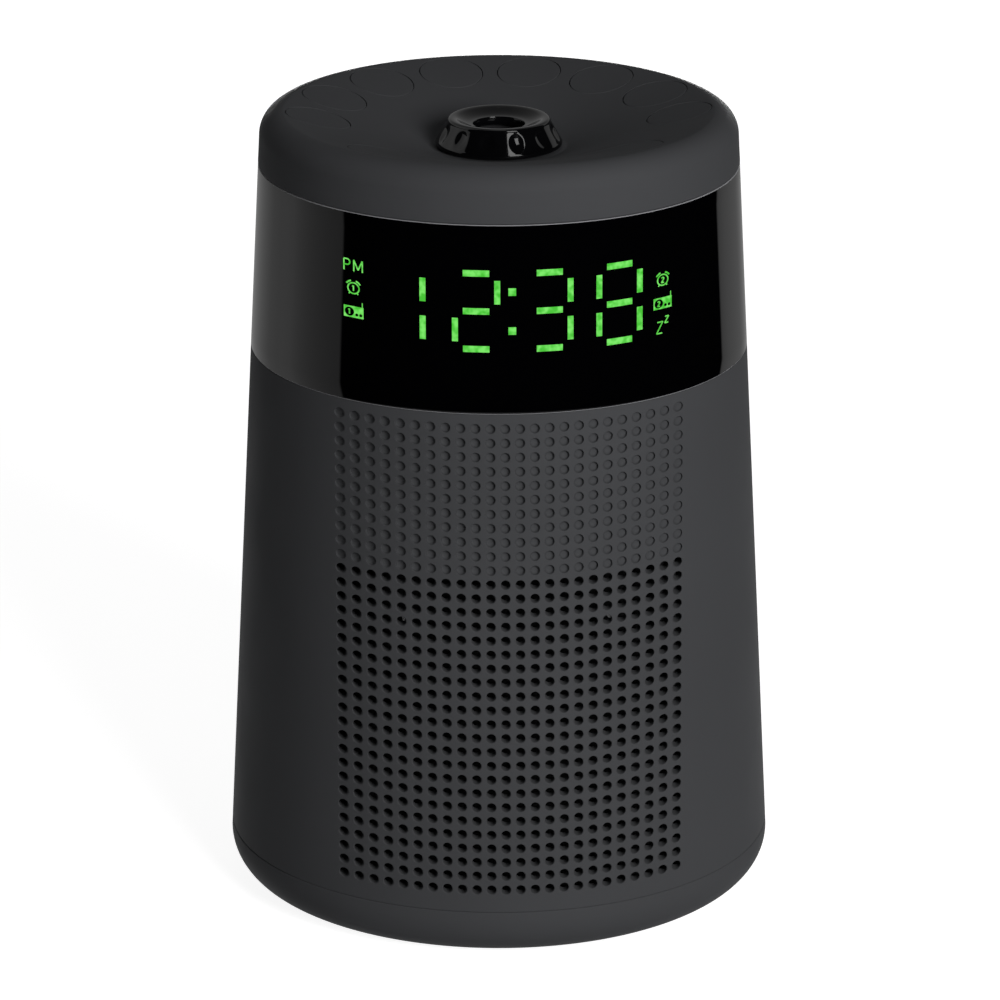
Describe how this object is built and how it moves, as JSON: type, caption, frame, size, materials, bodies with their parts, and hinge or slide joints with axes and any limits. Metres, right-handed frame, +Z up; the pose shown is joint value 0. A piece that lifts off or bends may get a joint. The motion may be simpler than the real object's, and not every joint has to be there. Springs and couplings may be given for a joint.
{
  "type": "projection alarm clock",
  "caption": "Round tapered clock radio with a perforated speaker front, smoked digital display band, press keys and a focusing projector on its dished top.",
  "frame": {"origin": "centre of the four feet on the table", "axes": "+Z up along the body's axis, -Y out of the display and speaker front"},
  "size_m": [0.1034, 0.1034, 0.1511],
  "materials": {
    "body_plastic": "fine matt black moulded plastic",
    "key_plastic": "fine matt black moulded plastic",
    "smoked_gloss": "polished dark smoked plastic",
    "knob_gloss": "polished black plastic",
    "foot_rubber": "matt black rubber",
    "inner_plastic": "plain moulded plastic",
    "component_black": "black component plastic",
    "circuit_board": "green solder mask",
    "screw_steel": "zinc plated steel",
    "spring_metal": "nickel plated",
    "speaker_steel": "black painted steel",
    "speaker_paper": "black treated paper",
    "clear_optic": "clear optical plastic",
    "led_green": "lit green emitter"
  },
  "bodies": {
    "housing": {"body_shell": "body_plastic", "base_cover": "body_plastic", "rubber_feet": "foot_rubber", "base_screws": "screw_steel", "battery_holder": "inner_plastic", "battery_contact": "spring_metal", "coin_cell": "spring_metal", "display_lens_band": "smoked_gloss", "display_light_guide": "clear_optic", "display_board": "circuit_board", "display_leds": "led_green", "top_cap": "body_plastic", "key_board": "circuit_board", "tact_switches": "component_black", "cap_screws": "screw_steel", "projector_barrel": "inner_plastic", "condenser_lens": "clear_optic", "projector_lcd": "component_black", "projector_lamp": "led_green", "inner_chassis": "inner_plastic", "speaker_gasket": "foot_rubber", "speaker_frame": "speaker_steel", "speaker_magnet": "speaker_steel", "speaker_cone": "speaker_paper", "speaker_dust_cap": "speaker_paper", "speaker_screws": "screw_steel", "main_board": "circuit_board", "main_board_chips": "component_black", "dc_jack": "component_black", "usb_port": "spring_metal", "antenna_gland": "foot_rubber"},
    "key_1": {"key_1": "key_plastic"},
    "key_2": {"key_2": "key_plastic"},
    "key_3": {"key_3": "key_plastic"},
    "key_4": {"key_4": "key_plastic"},
    "key_5": {"key_5": "key_plastic"},
    "key_6": {"key_6": "key_plastic"},
    "key_7": {"key_7": "key_plastic"},
    "key_8": {"key_8": "key_plastic"},
    "snooze": {"snooze_bar": "key_plastic"},
    "knob": {"focus_knob": "knob_gloss"},
    "lens": {"lens_carrier": "inner_plastic", "projection_lens": "clear_optic"},
    "battery_door": {"battery_door": "body_plastic"}
  },
  "joints": [
    {"name": "key_1_press", "type": "slide", "parent": "housing", "child": "key_1", "axis": [0, 0, -1], "range_m": [0, 0.0005], "stiffness_N_per_m": 400, "springref_m": -0.001},
    {"name": "key_2_press", "type": "slide", "parent": "housing", "child": "key_2", "axis": [0, 0, -1], "range_m": [0, 0.0005], "stiffness_N_per_m": 400, "springref_m": -0.001},
    {"name": "key_3_press", "type": "slide", "parent": "housing", "child": "key_3", "axis": [0, 0, -1], "range_m": [0, 0.0005], "stiffness_N_per_m": 400, "springref_m": -0.001},
    {"name": "key_4_press", "type": "slide", "parent": "housing", "child": "key_4", "axis": [0, 0, -1], "range_m": [0, 0.0005], "stiffness_N_per_m": 400, "springref_m": -0.001},
    {"name": "key_5_press", "type": "slide", "parent": "housing", "child": "key_5", "axis": [0, 0, -1], "range_m": [0, 0.0005], "stiffness_N_per_m": 400, "springref_m": -0.001},
    {"name": "key_6_press", "type": "slide", "parent": "housing", "child": "key_6", "axis": [0, 0, -1], "range_m": [0, 0.0005], "stiffness_N_per_m": 400, "springref_m": -0.001},
    {"name": "key_7_press", "type": "slide", "parent": "housing", "child": "key_7", "axis": [0, 0, -1], "range_m": [0, 0.0005], "stiffness_N_per_m": 400, "springref_m": -0.001},
    {"name": "key_8_press", "type": "slide", "parent": "housing", "child": "key_8", "axis": [0, 0, -1], "range_m": [0, 0.0005], "stiffness_N_per_m": 400, "springref_m": -0.001},
    {"name": "snooze_press", "type": "slide", "parent": "housing", "child": "snooze", "axis": [0, 0, -1], "range_m": [0, 0.0005], "stiffness_N_per_m": 400, "springref_m": -0.001},
    {"name": "focus_turn", "type": "hinge", "parent": "housing", "child": "knob", "pos_m": [0, 0, 0.1465], "axis": [0, 0, 1], "range_deg": [-150, 150]},
    {"name": "lens_slide", "type": "slide", "parent": "housing", "child": "lens", "axis": [0, 0, 1], "range_m": [-0.00125, 0.00125]},
    {"name": "battery_door_turn", "type": "hinge", "parent": "housing", "child": "battery_door", "pos_m": [0, 0, 0.001], "axis": [0, 0, 1], "range_deg": [0, 30]}
  ],
  "couplings": [
    {"joint": "lens_slide", "follows": "focus_turn", "m_per_rad": 0.000477}
  ]
}
